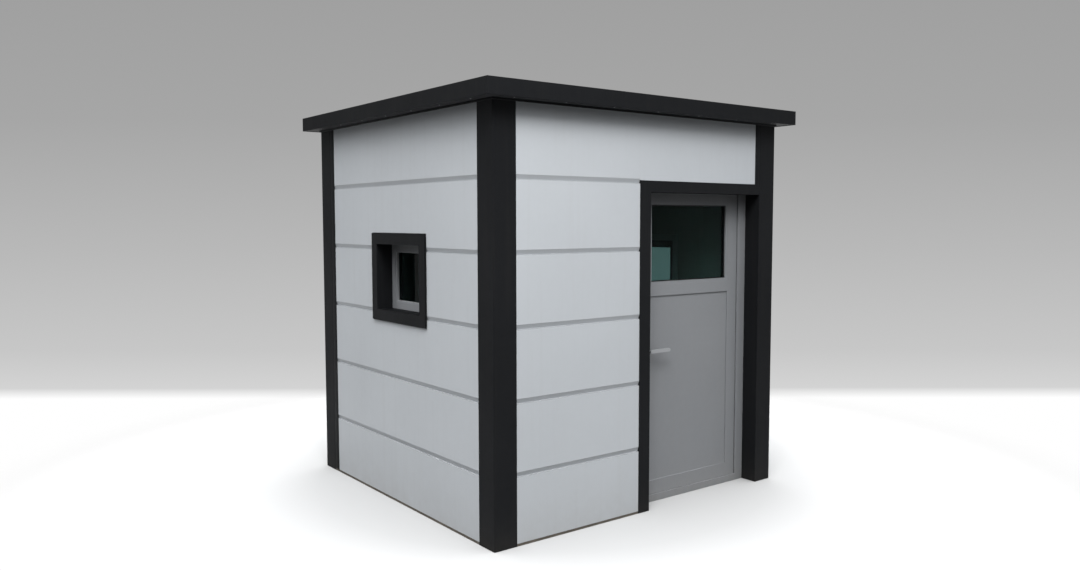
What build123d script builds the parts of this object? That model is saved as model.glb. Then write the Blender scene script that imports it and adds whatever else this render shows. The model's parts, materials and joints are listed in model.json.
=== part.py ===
from build123d import *
import os

# Security guard booth: a small insulated cabin with a flat overhanging roof.
# Millimetres, +Z up. The origin is the middle of the footprint, on the ground.
# The door is in the front wall, which faces -Y, close to the right-hand corner post.
# One window sits near the middle of the left wall and one in the right wall.

os.makedirs("parts", exist_ok=True)

# ---- Driving dimensions ------------------------------------------------------------------

# Plan and wall build-up
booth_length = 2374  # X, over the corner posts
booth_depth = 2244  # Y, over the corner posts
post_size = 156
post_proud = 2  # how far the posts stand out of the wall panels
post_chamfer = 2
post_corner_radius = 8
lining_thickness = 22
wall_height = 2500  # ground to the underside of the soffit

# Horizontal courses of the wall panels, lapped like boards: the lower edge of each slopes inwards
course_height = 417
groove_top = 9  # from the course line up to where the slope starts
groove_slope = 27  # height of the sloping edge
groove_floor = 2
groove_ledge = 1
groove_depth = 9

# Base
track_height = 15
floor_base_thickness = 25
floor_covering_thickness = 5

# Roof
overhang = 98  # beyond the corner posts
soffit_thickness = 10
deck_thickness = 58
membrane_thickness = 4
fascia_thickness = 20
fascia_drip = 2  # how far the fascia hangs below the soffit
kerb_width = 60
kerb_height = 19

# Doorway
doorway_width = 1034  # between the door post and the corner post
door_courses = 5  # courses up to the top of the head trim
door_post_width = 92
trim_width = 70  # face width of the door head and window trims
door_recess = 118  # from the wall panels back to the face of the door frame

# Door frame
frame_face = 50
hinge_frame_face = 61
frame_lip = 7  # thickness of the stop lip outside the leaf
lip_overlap = 8  # how far the lip covers the edge of the leaf
lip_gap = 5
frame_tuck = 39  # how far the lock jamb reaches behind the door post
leaf_gap = 7
threshold_gap = 8

# Door leaf
leaf_thickness = 46
stile_width = 100
top_rail = 67
mid_rail = 73
bottom_rail = 100
mid_rail_bottom = 1350  # above the ground
bead_width = 20
bead_setback = 2
door_glass_thickness = 20
door_glass_setback = 16  # from the face of the leaf to the glass
door_panel_thickness = 24
door_panel_setback = 6

# Hinges
hinge_count = 3
hinge_height = 100
hinge_radius = 8
hinge_standoff = 10  # from the inner face of the leaf to the hinge axis
hinge_door_plate = 36  # length of the plate on the leaf, from its hinge edge
hinge_frame_plate = 12  # length of the plate on the jamb
hinge_plate_thickness = 3
hinge_end_distance = 220  # from the ends of the leaf to the middle of the end hinges
hinge_running_gap = 0.5
pin_radius = 4
pin_clearance = 0.3

# Lever handle and lock
handle_height = 1000
backset = 75  # from the lock edge of the leaf to the spindle
lever_length = 165
lever_bar = 22
lever_thickness = 12
lever_reach = 58  # from the face of the leaf to the outside of the lever
neck_radius = 9
spindle_size = 8
spindle_hole_radius = 7
plate_width = 36
plate_height = 230
plate_thickness = 8
plate_drop = 40  # from the spindle down to the middle of the plate
plate_gap = 1
lock_drop = 72
lock_radius = 8.5
lock_proud = 3
lock_clearance = 0.25

# Windows
window_width = 560  # clear, inside the trim
window_height = 432
window_sill = 1255  # above the ground
window_shift = -45  # from the middle of the side wall
window_trim_proud = 12
reveal_thickness = 10
window_recess = 102  # from the wall panels back to the face of the window frame
window_frame_face = 45
window_frame_depth = 60
window_glass_setback = 28
window_glass_thickness = 20

# ---- Derived places ----------------------------------------------------------------------

wall_core = post_size - post_proud
post_x = booth_length / 2
post_y = booth_depth / 2
panel_x = post_x - post_proud
panel_y = post_y - post_proud
core_x = post_x - post_size
core_y = post_y - post_size
room_x = core_x - lining_thickness
room_y = core_y - lining_thickness
floor_top = floor_base_thickness + floor_covering_thickness

roof_x = post_x + overhang
roof_y = post_y + overhang
deck_x = roof_x - fascia_thickness
deck_y = roof_y - fascia_thickness
deck_bottom = wall_height + soffit_thickness
deck_top = deck_bottom + deck_thickness
membrane_top = deck_top + membrane_thickness
roof_top = membrane_top + kerb_height

doorway_left = core_x - doorway_width
head_trim_top = door_courses * course_height
head_trim_bottom = head_trim_top - trim_width
door_post_left = doorway_left - door_post_width

frame_outside = -panel_y + door_recess
leaf_outside = frame_outside + frame_lip + lip_gap
leaf_inside = leaf_outside + leaf_thickness
frame_inside = leaf_inside
frame_left = doorway_left - frame_tuck
frame_right = core_x
jamb_left_edge = frame_left + frame_face
jamb_right_edge = frame_right - hinge_frame_face
frame_head_edge = head_trim_top - frame_face

leaf_left = jamb_left_edge + leaf_gap
leaf_right = jamb_right_edge - leaf_gap
leaf_bottom = floor_top + threshold_gap
leaf_top = frame_head_edge - leaf_gap
infill_left = leaf_left + stile_width
infill_right = leaf_right - stile_width
glass_bottom = mid_rail_bottom + mid_rail
glass_top = leaf_top - top_rail
panel_bottom = leaf_bottom + bottom_rail

hinge_x = (leaf_right + jamb_right_edge) / 2
hinge_y = leaf_inside + hinge_standoff
spindle_x = leaf_left + backset

window_middle = window_sill + window_height / 2


# ---- Shared shapes -----------------------------------------------------------------------


def write_piece(piece, name):
    """Label a finished piece and write its STEP file."""
    piece.part.label = name
    export_step(piece.part, f"parts/{name}.step")


def slab(x_range, y_range, z_range):
    """A plain rectangular piece between the given limits."""
    with BuildPart() as piece:
        with BuildSketch(Plane.XY.offset(z_range[0])):
            with Locations((sum(x_range) / 2, sum(y_range) / 2)):
                Rectangle(x_range[1] - x_range[0], y_range[1] - y_range[0])
        extrude(amount=z_range[1] - z_range[0])
    return piece


def profile_bar(plane, outline, length):
    """A straight bar: a closed outline on a plane, extruded along the plane's normal."""
    with BuildPart() as piece:
        with BuildSketch(plane):
            with BuildLine():
                Polyline(*outline, close=True)
            make_face()
        extrude(amount=length)
    return piece


def wall_outline(face, inward, z_bottom, z_top):
    """Section of a wall: flat inside, and a lapped groove at each course line outside.

    face is the place of the outer face across the wall, and inward is +1 or -1 towards the room.
    """
    groove_back = face + inward * groove_depth
    slope_foot = groove_top - groove_slope
    groove_foot = slope_foot - groove_floor - groove_ledge
    outline = [(face + inward * wall_core, z_bottom), (face, z_bottom)]
    line = course_height
    while line < z_top - groove_slope:
        if line > z_bottom + groove_slope:
            outline += [
                (face, line + groove_foot),
                (groove_back, line + slope_foot - groove_floor),
                (groove_back, line + slope_foot),
                (face, line + groove_top),
            ]
        line += course_height
    outline += [(face, z_top), (face + inward * wall_core, z_top)]
    return outline


# ---- Floor and base track ----------------------------------------------------------------

with BuildPart() as floor_base:
    with BuildSketch():
        Rectangle(2 * core_x, 2 * core_y)
        # Notch in which the door sill lies
        with Locations(((frame_left + frame_right) / 2, (-core_y + frame_inside) / 2)):
            Rectangle(frame_right - frame_left, frame_inside + core_y, mode=Mode.SUBTRACT)
    extrude(amount=floor_base_thickness)
write_piece(floor_base, "floor_base")

floor_covering = slab((-room_x, room_x), (-room_y, room_y), (floor_base_thickness, floor_top))
write_piece(floor_covering, "floor_covering")

with BuildPart() as base_track:
    with BuildSketch():
        for side in (-1, 1):
            with Locations((side * (panel_x - wall_core / 2), 0)):
                Rectangle(wall_core, 2 * core_y)
        with Locations((0, panel_y - wall_core / 2)):
            Rectangle(2 * core_x, wall_core)
        with Locations(((-core_x + door_post_left) / 2, -panel_y + wall_core / 2)):
            Rectangle(door_post_left + core_x, wall_core)
    extrude(amount=track_height)
write_piece(base_track, "base_track")

# ---- Corner posts ------------------------------------------------------------------------

for name, side_x, side_y in (
    ("corner_post_front_left", -1, -1),
    ("corner_post_front_right", 1, -1),
    ("corner_post_back_left", -1, 1),
    ("corner_post_back_right", 1, 1),
):
    with BuildPart() as corner_post:
        with BuildSketch():
            with Locations((side_x * (post_x - post_size / 2), side_y * (post_y - post_size / 2))):
                Rectangle(post_size, post_size)
        extrude(amount=wall_height)
        uprights = corner_post.edges().filter_by(Axis.Z).sort_by_distance((0, 0, wall_height / 2))
        fillet(uprights[-1], radius=post_corner_radius)
        chamfer(uprights[:-1], length=post_chamfer)
    write_piece(corner_post, name)

# ---- Insulated wall panels ---------------------------------------------------------------

front_outline = wall_outline(-panel_y, 1, track_height, wall_height)
front_wall = profile_bar(Plane.YZ.offset(-core_x), front_outline, door_post_left + core_x)
write_piece(front_wall, "front_wall")

over_door_outline = wall_outline(-panel_y, 1, head_trim_top, wall_height)
front_wall_over_door = profile_bar(
    Plane.YZ.offset(door_post_left), over_door_outline, core_x - door_post_left
)
write_piece(front_wall_over_door, "front_wall_over_door")

back_outline = wall_outline(panel_y, -1, track_height, wall_height)
back_wall = profile_bar(Plane.YZ.offset(-core_x), back_outline, 2 * core_x)
write_piece(back_wall, "back_wall")

window_hole = (window_width + 2 * reveal_thickness, window_height + 2 * reveal_thickness)
for name, side in (("left_wall", -1), ("right_wall", 1)):
    with BuildPart() as side_wall:
        with BuildSketch(Plane.XZ.offset(-core_y)):
            with BuildLine():
                Polyline(*wall_outline(side * panel_x, -side, track_height, wall_height), close=True)
            make_face()
        extrude(amount=2 * core_y)
        with BuildSketch(Plane.YZ.offset(side * panel_x)):
            with Locations((window_shift, window_middle)):
                Rectangle(*window_hole)
        extrude(amount=-side * wall_core, mode=Mode.SUBTRACT)
    write_piece(side_wall, name)

# ---- Inner linings -----------------------------------------------------------------------

lining_heights = (floor_base_thickness, wall_height)

front_lining = slab((-core_x, frame_left), (-core_y, -room_y), lining_heights)
write_piece(front_lining, "front_lining")

front_lining_over_door = slab((frame_left, core_x), (-core_y, -room_y), (head_trim_top, wall_height))
write_piece(front_lining_over_door, "front_lining_over_door")

back_lining = slab((-core_x, core_x), (room_y, core_y), lining_heights)
write_piece(back_lining, "back_lining")

for name, side in (("left_lining", -1), ("right_lining", 1)):
    with BuildPart() as side_lining:
        with BuildSketch(Plane.XY.offset(floor_base_thickness)):
            with Locations((side * (room_x + lining_thickness / 2), 0)):
                Rectangle(lining_thickness, 2 * room_y)
        extrude(amount=wall_height - floor_base_thickness)
        with BuildSketch(Plane.YZ.offset(side * core_x)):
            with Locations((window_shift, window_middle)):
                Rectangle(*window_hole)
        extrude(amount=-side * lining_thickness, mode=Mode.SUBTRACT)
    write_piece(side_lining, name)

# ---- Doorway trims -----------------------------------------------------------------------

with BuildPart() as door_post:
    with BuildSketch():
        with BuildLine():
            Polyline(
                (door_post_left, -post_y),
                (doorway_left, -post_y),
                (doorway_left, frame_outside),
                (frame_left, frame_outside),
                (frame_left, -core_y),
                (door_post_left, -core_y),
                close=True,
            )
        make_face()
    extrude(amount=head_trim_top)
write_piece(door_post, "door_post")

door_head_trim = slab((doorway_left, core_x), (-post_y, frame_outside), (head_trim_bottom, head_trim_top))
write_piece(door_head_trim, "door_head_trim")

# ---- Door frame: two jambs, a head and a sill, each with a stop lip outside the leaf -----

lip_inside = frame_outside + frame_lip
lip_reach = leaf_gap + lip_overlap


def jamb_outline(back_x, edge_x):
    """Section of a jamb on the ground plane, from its back to the edge beside the leaf."""
    lip_x = edge_x + (lip_reach if edge_x > back_x else -lip_reach)
    return [
        (back_x, frame_outside),
        (lip_x, frame_outside),
        (lip_x, lip_inside),
        (edge_x, lip_inside),
        (edge_x, frame_inside),
        (back_x, frame_inside),
    ]


door_jamb_lock = profile_bar(Plane.XY, jamb_outline(frame_left, jamb_left_edge), head_trim_top)
write_piece(door_jamb_lock, "door_jamb_lock")

door_jamb_hinge = profile_bar(Plane.XY, jamb_outline(frame_right, jamb_right_edge), head_trim_top)
write_piece(door_jamb_hinge, "door_jamb_hinge")


def cross_member(z_bottom, z_top, lip_bottom, lip_top):
    """The head or sill of the frame: a bar between the jambs, and a face layer between their lips."""
    bar_length = jamb_right_edge - jamb_left_edge
    middle_x = (jamb_left_edge + jamb_right_edge) / 2
    with BuildPart() as piece:
        with BuildSketch(Plane.XZ.offset(-lip_inside)):
            with Locations((middle_x, (z_bottom + z_top) / 2)):
                Rectangle(bar_length, z_top - z_bottom)
        extrude(amount=-(frame_inside - lip_inside))
        with BuildSketch(Plane.XZ.offset(-frame_outside)):
            with Locations((middle_x, (lip_bottom + lip_top) / 2)):
                Rectangle(bar_length - 2 * lip_reach, lip_top - lip_bottom)
        extrude(amount=-frame_lip)
    return piece


door_frame_head = cross_member(frame_head_edge, head_trim_top, frame_head_edge - lip_reach, head_trim_top)
write_piece(door_frame_head, "door_frame_head")

door_sill = cross_member(0, floor_top, 0, leaf_bottom + lip_overlap)
write_piece(door_sill, "door_sill")

# ---- Door leaf ---------------------------------------------------------------------------

infill_middle = (infill_left + infill_right) / 2
infill_width = infill_right - infill_left
lock_z = handle_height - lock_drop

with BuildPart() as door_leaf:
    with BuildSketch(Plane.XZ.offset(-leaf_outside)):
        with Locations(((leaf_left + leaf_right) / 2, (leaf_bottom + leaf_top) / 2)):
            Rectangle(leaf_right - leaf_left, leaf_top - leaf_bottom)
        with Locations((infill_middle, (glass_bottom + glass_top) / 2)):
            Rectangle(infill_width, glass_top - glass_bottom, mode=Mode.SUBTRACT)
        with Locations((infill_middle, (panel_bottom + mid_rail_bottom) / 2)):
            Rectangle(infill_width, mid_rail_bottom - panel_bottom, mode=Mode.SUBTRACT)
        with Locations((spindle_x, handle_height)):
            Circle(spindle_hole_radius, mode=Mode.SUBTRACT)
        with Locations((spindle_x, lock_z)):
            Circle(lock_radius + lock_clearance, mode=Mode.SUBTRACT)
    extrude(amount=-leaf_thickness)
write_piece(door_leaf, "door_leaf")

glass_outside = leaf_outside + door_glass_setback
glass_inside = glass_outside + door_glass_thickness
door_glass = slab((infill_left, infill_right), (glass_outside, glass_inside), (glass_bottom, glass_top))
write_piece(door_glass, "door_glass")

panel_outside = leaf_outside + door_panel_setback
door_panel = slab(
    (infill_left, infill_right),
    (panel_outside, panel_outside + door_panel_thickness),
    (panel_bottom, mid_rail_bottom),
)
write_piece(door_panel, "door_panel")

# Glazing beads: one ring outside the glass and one inside it
with BuildPart() as door_beads:
    for ring_outside, ring_inside in (
        (leaf_outside + bead_setback, glass_outside),
        (glass_inside, leaf_inside),
    ):
        with BuildSketch(Plane.XZ.offset(-ring_outside)):
            with Locations((infill_middle, (glass_bottom + glass_top) / 2)):
                Rectangle(infill_width, glass_top - glass_bottom)
                Rectangle(
                    infill_width - 2 * bead_width,
                    glass_top - glass_bottom - 2 * bead_width,
                    mode=Mode.SUBTRACT,
                )
        extrude(amount=-(ring_inside - ring_outside))
write_piece(door_beads, "door_beads")

# ---- Hinges, on the inner face: plate and knuckle on the leaf, plate and pin on the frame ---

hinge_span = leaf_top - leaf_bottom - 2 * hinge_end_distance
hinge_heights = [
    leaf_bottom + hinge_end_distance + hinge_span * number / (hinge_count - 1)
    for number in range(hinge_count)
]
knuckle_height = (hinge_height - hinge_running_gap) / 2


def hinge_half(side, plate_length, z_bottom):
    """Plate, web and knuckle of half a hinge, on the leaf (side -1) or on the frame (side +1)."""
    slot_edge = hinge_x + side * leaf_gap / 2
    plate_edge = slot_edge + side * plate_length
    web_edge = hinge_x + side * hinge_radius
    with BuildPart() as half:
        with BuildSketch(Plane.XY.offset(z_bottom)):
            with Locations(((plate_edge + slot_edge) / 2, leaf_inside + hinge_plate_thickness / 2)):
                Rectangle(abs(plate_edge - slot_edge), hinge_plate_thickness)
            with Locations(((web_edge + slot_edge) / 2, (leaf_inside + hinge_y) / 2)):
                Rectangle(abs(web_edge - slot_edge), hinge_y - leaf_inside)
            with Locations((hinge_x, hinge_y)):
                Circle(hinge_radius)
        extrude(amount=knuckle_height)
    return half


lower_halves = [hinge_half(1, hinge_frame_plate, middle - hinge_height / 2) for middle in hinge_heights]
upper_halves = [
    hinge_half(-1, hinge_door_plate, middle + hinge_height / 2 - knuckle_height)
    for middle in hinge_heights
]

with BuildPart() as hinge_frame_halves:
    for middle, half in zip(hinge_heights, lower_halves):
        add(half.part)
        with BuildSketch(Plane.XY.offset(middle - hinge_height / 2)):
            with Locations((hinge_x, hinge_y)):
                Circle(pin_radius)
        extrude(amount=hinge_height)
write_piece(hinge_frame_halves, "hinge_frame_halves")

with BuildPart() as hinge_door_halves:
    for middle, half in zip(hinge_heights, upper_halves):
        add(half.part)
        with BuildSketch(Plane.XY.offset(middle)):
            with Locations((hinge_x, hinge_y)):
                Circle(pin_radius + pin_clearance)
        extrude(amount=hinge_height / 2, mode=Mode.SUBTRACT)
write_piece(hinge_door_halves, "hinge_door_halves")

# ---- Handle plates and lock cylinder -----------------------------------------------------

for name, plate_face in (
    ("handle_plate_outside", leaf_outside - plate_thickness),
    ("handle_plate_inside", leaf_inside),
):
    with BuildPart() as handle_plate:
        with BuildSketch(Plane.XZ.offset(-plate_face)):
            with Locations((spindle_x, handle_height - plate_drop)):
                SlotOverall(plate_height, plate_width, rotation=90)
            with Locations((spindle_x, handle_height)):
                Circle(spindle_hole_radius, mode=Mode.SUBTRACT)
            with Locations((spindle_x, lock_z)):
                Circle(lock_radius + lock_clearance, mode=Mode.SUBTRACT)
        extrude(amount=-plate_thickness)
    write_piece(handle_plate, name)

lock_end = leaf_outside - plate_thickness - lock_proud
with BuildPart() as lock_cylinder:
    with BuildSketch(Plane.XZ.offset(-lock_end)):
        with Locations((spindle_x, lock_z)):
            Circle(lock_radius)
    extrude(amount=-(leaf_thickness + 2 * (plate_thickness + lock_proud)))
write_piece(lock_cylinder, "lock_cylinder")

# ---- Levers: an arm on a round neck; the outer one carries the square spindle ------------

neck_start = plate_thickness + plate_gap  # from the face of the leaf


def lever(face, outward):
    """Neck and arm of a lever on the leaf face at face, reaching outward (-1 or +1 along Y)."""
    neck_base = face + outward * neck_start
    arm_back = face + outward * (lever_reach - lever_thickness)
    with BuildPart() as piece:
        with BuildSketch(Plane.XZ.offset(-neck_base)):
            with Locations((spindle_x, handle_height)):
                Circle(neck_radius)
        extrude(amount=-(arm_back - neck_base))
        with BuildSketch(Plane.XZ.offset(-arm_back)):
            with Locations((spindle_x + lever_length / 2 - lever_bar / 4, handle_height)):
                SlotOverall(lever_length + lever_bar / 2, lever_bar)
        extrude(amount=-outward * lever_thickness)
    return piece


outer_lever = lever(leaf_outside, -1)

with BuildPart() as lever_outside:
    add(outer_lever.part)
    with BuildSketch(Plane.XZ.offset(-(leaf_outside - neck_start))):
        with Locations((spindle_x, handle_height)):
            Rectangle(spindle_size, spindle_size)
    extrude(amount=-(leaf_thickness + 2 * neck_start))
write_piece(lever_outside, "lever_outside")

lever_inside = lever(leaf_inside, 1)
write_piece(lever_inside, "lever_inside")

# ---- Windows: trim with a lined reveal, fixed frame and sealed glass ---------------------

for hand, side in (("left", -1), ("right", 1)):
    panel_face = side * panel_x
    frame_face_x = side * (panel_x - window_recess)
    glass_face_x = side * (panel_x - window_recess - window_glass_setback)
    glass_size = (window_width - 2 * window_frame_face, window_height - 2 * window_frame_face)

    with BuildPart() as window_trim:
        with BuildSketch(Plane.YZ.offset(panel_face)):
            with Locations((window_shift, window_middle)):
                Rectangle(window_width + 2 * trim_width, window_height + 2 * trim_width)
                Rectangle(window_width, window_height, mode=Mode.SUBTRACT)
        extrude(amount=side * window_trim_proud)
        with BuildSketch(Plane.YZ.offset(panel_face)):
            with Locations((window_shift, window_middle)):
                Rectangle(*window_hole)
                Rectangle(window_width, window_height, mode=Mode.SUBTRACT)
        extrude(amount=-side * window_recess)
    write_piece(window_trim, f"window_trim_{hand}")

    with BuildPart() as window_frame:
        with BuildSketch(Plane.YZ.offset(frame_face_x)):
            with Locations((window_shift, window_middle)):
                Rectangle(*window_hole)
                Rectangle(*glass_size, mode=Mode.SUBTRACT)
        extrude(amount=-side * window_frame_depth)
    write_piece(window_frame, f"window_frame_{hand}")

    with BuildPart() as window_glass:
        with BuildSketch(Plane.YZ.offset(glass_face_x)):
            with Locations((window_shift, window_middle)):
                Rectangle(*glass_size)
        extrude(amount=-side * window_glass_thickness)
    write_piece(window_glass, f"window_glass_{hand}")

# ---- Roof --------------------------------------------------------------------------------

with BuildPart() as soffit:
    with BuildSketch(Plane.XY.offset(wall_height)):
        Rectangle(2 * deck_x, 2 * deck_y)
        Rectangle(2 * core_x, 2 * core_y, mode=Mode.SUBTRACT)
    extrude(amount=soffit_thickness)
write_piece(soffit, "soffit")

ceiling = slab((-core_x, core_x), (-core_y, core_y), (wall_height, deck_bottom))
write_piece(ceiling, "ceiling")

roof_deck = slab((-deck_x, deck_x), (-deck_y, deck_y), (deck_bottom, deck_top))
write_piece(roof_deck, "roof_deck")

roof_membrane = slab((-deck_x, deck_x), (-deck_y, deck_y), (deck_top, membrane_top))
write_piece(roof_membrane, "roof_membrane")


def fascia_outline(face, inward):
    """Section of a fascia: a board down to the drip, with a kerb on the edge of the roof."""
    board_back = face + inward * fascia_thickness
    kerb_back = face + inward * kerb_width
    return [
        (face, wall_height - fascia_drip),
        (face, roof_top),
        (kerb_back, roof_top),
        (kerb_back, membrane_top),
        (board_back, membrane_top),
        (board_back, wall_height - fascia_drip),
    ]


for name, side in (("fascia_front", -1), ("fascia_back", 1)):
    fascia = profile_bar(Plane.YZ.offset(-roof_x), fascia_outline(side * roof_y, -side), 2 * roof_x)
    write_piece(fascia, name)

# The side fascias fit between the kerbs of the front and back ones
for name, side in (("fascia_left", -1), ("fascia_right", 1)):
    with BuildPart() as fascia:
        with BuildSketch(Plane.XZ.offset(-deck_y)):
            with BuildLine():
                Polyline(*fascia_outline(side * roof_x, -side), close=True)
            make_face()
        extrude(amount=2 * deck_y)
        for end in (-1, 1):
            with BuildSketch(Plane.XY.offset(membrane_top)):
                with Locations((side * roof_x, end * roof_y)):
                    Rectangle(2 * kerb_width, 2 * kerb_width)
            extrude(amount=kerb_height, mode=Mode.SUBTRACT)
    write_piece(fascia, name)
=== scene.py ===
import json
import logging
import math
from dataclasses import dataclass
from enum import Enum
from typing import Callable, Union

import bmesh
import bpy
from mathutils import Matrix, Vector


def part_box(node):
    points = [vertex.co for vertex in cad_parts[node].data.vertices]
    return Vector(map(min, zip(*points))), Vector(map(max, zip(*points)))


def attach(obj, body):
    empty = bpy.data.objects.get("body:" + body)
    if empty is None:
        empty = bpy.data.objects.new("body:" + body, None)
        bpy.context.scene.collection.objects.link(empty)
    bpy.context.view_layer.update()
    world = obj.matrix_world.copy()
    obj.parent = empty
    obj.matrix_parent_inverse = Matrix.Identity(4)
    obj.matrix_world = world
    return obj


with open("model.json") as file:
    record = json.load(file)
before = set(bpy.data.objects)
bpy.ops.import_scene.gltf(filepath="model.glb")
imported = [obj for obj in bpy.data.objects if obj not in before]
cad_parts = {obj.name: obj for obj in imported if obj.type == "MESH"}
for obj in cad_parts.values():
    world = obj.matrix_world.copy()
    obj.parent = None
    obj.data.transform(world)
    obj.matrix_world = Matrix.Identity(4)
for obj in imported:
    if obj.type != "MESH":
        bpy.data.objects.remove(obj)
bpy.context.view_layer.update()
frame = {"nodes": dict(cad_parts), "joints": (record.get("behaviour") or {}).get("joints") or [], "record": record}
LOG = logging.getLogger("guard_booth")

Colour = tuple[float, float, float, float]
Triple = tuple[float, float, float]
Pair = tuple[float, float]
Piece = bpy.types.Object
Node = bpy.types.Node
Socket = bpy.types.NodeSocket
Material = bpy.types.Material
Value = Union[float, int, Colour, Triple, Socket]
Inputs = dict[Union[str, int], Value]
Outputs = dict[str, Socket]
Element = Union[bmesh.types.BMFace, bmesh.types.BMEdge, bmesh.types.BMVert]
Test = Callable[[Vector, Vector], bool]


def shade(red: int, green: int, blue: int) -> Colour:
    """Turn a colour chart value, from 0 to 255, into the linear colour that shaders use."""
    parts = [(v / 255 / 12.92) if v <= 10 else ((v / 255 + 0.055) / 1.055) ** 2.4 for v in (red, green, blue)]
    return (parts[0], parts[1], parts[2], 1.0)


def near(first: float, second: float, within: float = 0.0001) -> bool:
    """Tell whether two lengths agree."""
    return abs(first - second) < within


def box(node: str) -> tuple[Vector, Vector]:
    """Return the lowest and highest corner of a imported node."""
    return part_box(node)


def centre(node: str) -> Vector:
    """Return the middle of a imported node."""
    low, high = box(node)
    return (low + high) / 2


class Board:
    """A node tree, with short calls that add and join its nodes."""

    def __init__(self, tree: bpy.types.NodeTree) -> None:
        """Start on an emptied tree."""
        self.tree = tree
        tree.nodes.clear()

    def add(self, kind: str, inputs: Inputs | None = None, **settings: object) -> Node:
        """Add one node.

        Args:
            kind: The node's type name.
            inputs: Socket name or number to a value, or to the socket that feeds it.
            settings: Attributes of the node itself.

        Returns:
            The new node.
        """
        node = self.tree.nodes.new(kind)
        for name, setting in settings.items():
            setattr(node, name, setting)
        for key, value in (inputs or {}).items():
            if isinstance(value, Socket):
                self.tree.links.new(value, node.inputs[key])
            else:
                node.inputs[key].default_value = value
        return node

    def math(self, operation: str, first: Value, second: Value = 0.0, clamp: bool = False) -> Socket:
        """Combine two numbers, held between 0 and 1 if clamped, and return the result's socket."""
        node = self.add("ShaderNodeMath", {0: first, 1: second}, operation=operation, use_clamp=clamp)
        return node.outputs[0]

    def mix(self, factor: Value, first: Value, second: Value) -> Socket:
        """Mix two colours by the share of the second, and return the result's socket."""
        return self.add("ShaderNodeMix", {0: factor, 6: first, 7: second}, data_type="RGBA").outputs[2]

    def remap(self, value: Value, low: float, high: Value, to_low: float, to_high: float,
              steps: str = "LINEAR") -> Socket:
        """Map a range of numbers to another, held at its ends, and return the result's socket."""
        return self.add("ShaderNodeMapRange", {0: value, 1: low, 2: high, 3: to_low, 4: to_high},
                        interpolation_type=steps).outputs[0]

    def place(self) -> Socket:
        """Return each point's place in its object."""
        return self.add("ShaderNodeTexCoord").outputs["Object"]

    def group(self, name: str, inputs: Inputs) -> Node:
        """Place the shared effect of this name, with its inputs."""
        return self.add("ShaderNodeGroup", inputs, node_tree=bpy.data.node_groups[name])


@dataclass(frozen=True)
class Effect:
    """A shared effect: a node group with named inputs and outputs."""

    name: str
    inputs: tuple[tuple[str, str, Value], ...]
    outputs: tuple[tuple[str, str], ...]
    wire: Callable[[Board, Node], Outputs]

    def build(self) -> None:
        """Make the node group."""
        tree = bpy.data.node_groups.new(self.name, "ShaderNodeTree")
        board = Board(tree)
        for name, kind, default in self.inputs:
            socket = tree.interface.new_socket(name=name, in_out="INPUT", socket_type=f"NodeSocket{kind}")
            socket.default_value = default
        for name, kind in self.outputs:
            tree.interface.new_socket(name=name, in_out="OUTPUT", socket_type=f"NodeSocket{kind}")
        board.add("NodeGroupOutput", dict(self.wire(board, board.add("NodeGroupInput"))))


def wire_mottle(board: Board, given: Node) -> Outputs:
    """Slow and fine variation between two tones of one paint.

    Args:
        board: The group's tree.
        given: The group's inputs.

    Returns:
        The outputs by name.
    """
    finer, slow_share, fine_share = 14.0, 0.7, 0.3
    place = board.place()
    slow = board.add("ShaderNodeTexNoise", {"Vector": place, "Scale": given.outputs["Scale"], "Detail": 3.0})
    fine_scale = board.math("MULTIPLY", given.outputs["Scale"], finer)
    fine = board.add("ShaderNodeTexNoise", {"Vector": place, "Scale": fine_scale, "Detail": 5.0,
                                            "Roughness": 0.6})
    blend = board.math("ADD", board.math("MULTIPLY", slow.outputs["Fac"], slow_share),
                       board.math("MULTIPLY", fine.outputs["Fac"], fine_share))
    spread = board.remap(blend, 0.32, 0.68, 0.0, 1.0)
    share = board.math("MULTIPLY", spread, given.outputs["Amount"], clamp=True)
    return {"Color": board.mix(share, given.outputs["Base"], given.outputs["Shade"]), "Factor": spread}


def wire_grain(board: Board, given: Node) -> Outputs:
    """Height of a sprayed or moulded skin, stretched along any axis.

    Args:
        board: The group's tree.
        given: The group's inputs.

    Returns:
        The outputs by name.
    """
    skin_share, pit_share = 0.65, 0.35
    place, scale = board.place(), given.outputs["Scale"]
    turned = board.add("ShaderNodeMapping", {"Vector": place, "Scale": given.outputs["Stretch"]}).outputs[0]
    skin = board.add("ShaderNodeTexNoise", {"Vector": turned, "Scale": scale, "Detail": 4.0,
                                            "Roughness": 0.55})
    pits = board.add("ShaderNodeTexVoronoi", {"Vector": turned, "Scale": scale}, feature="SMOOTH_F1")
    return {"Height": board.math("ADD", board.math("MULTIPLY", skin.outputs["Fac"], skin_share),
                                 board.math("MULTIPLY", pits.outputs["Distance"], pit_share))}


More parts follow.
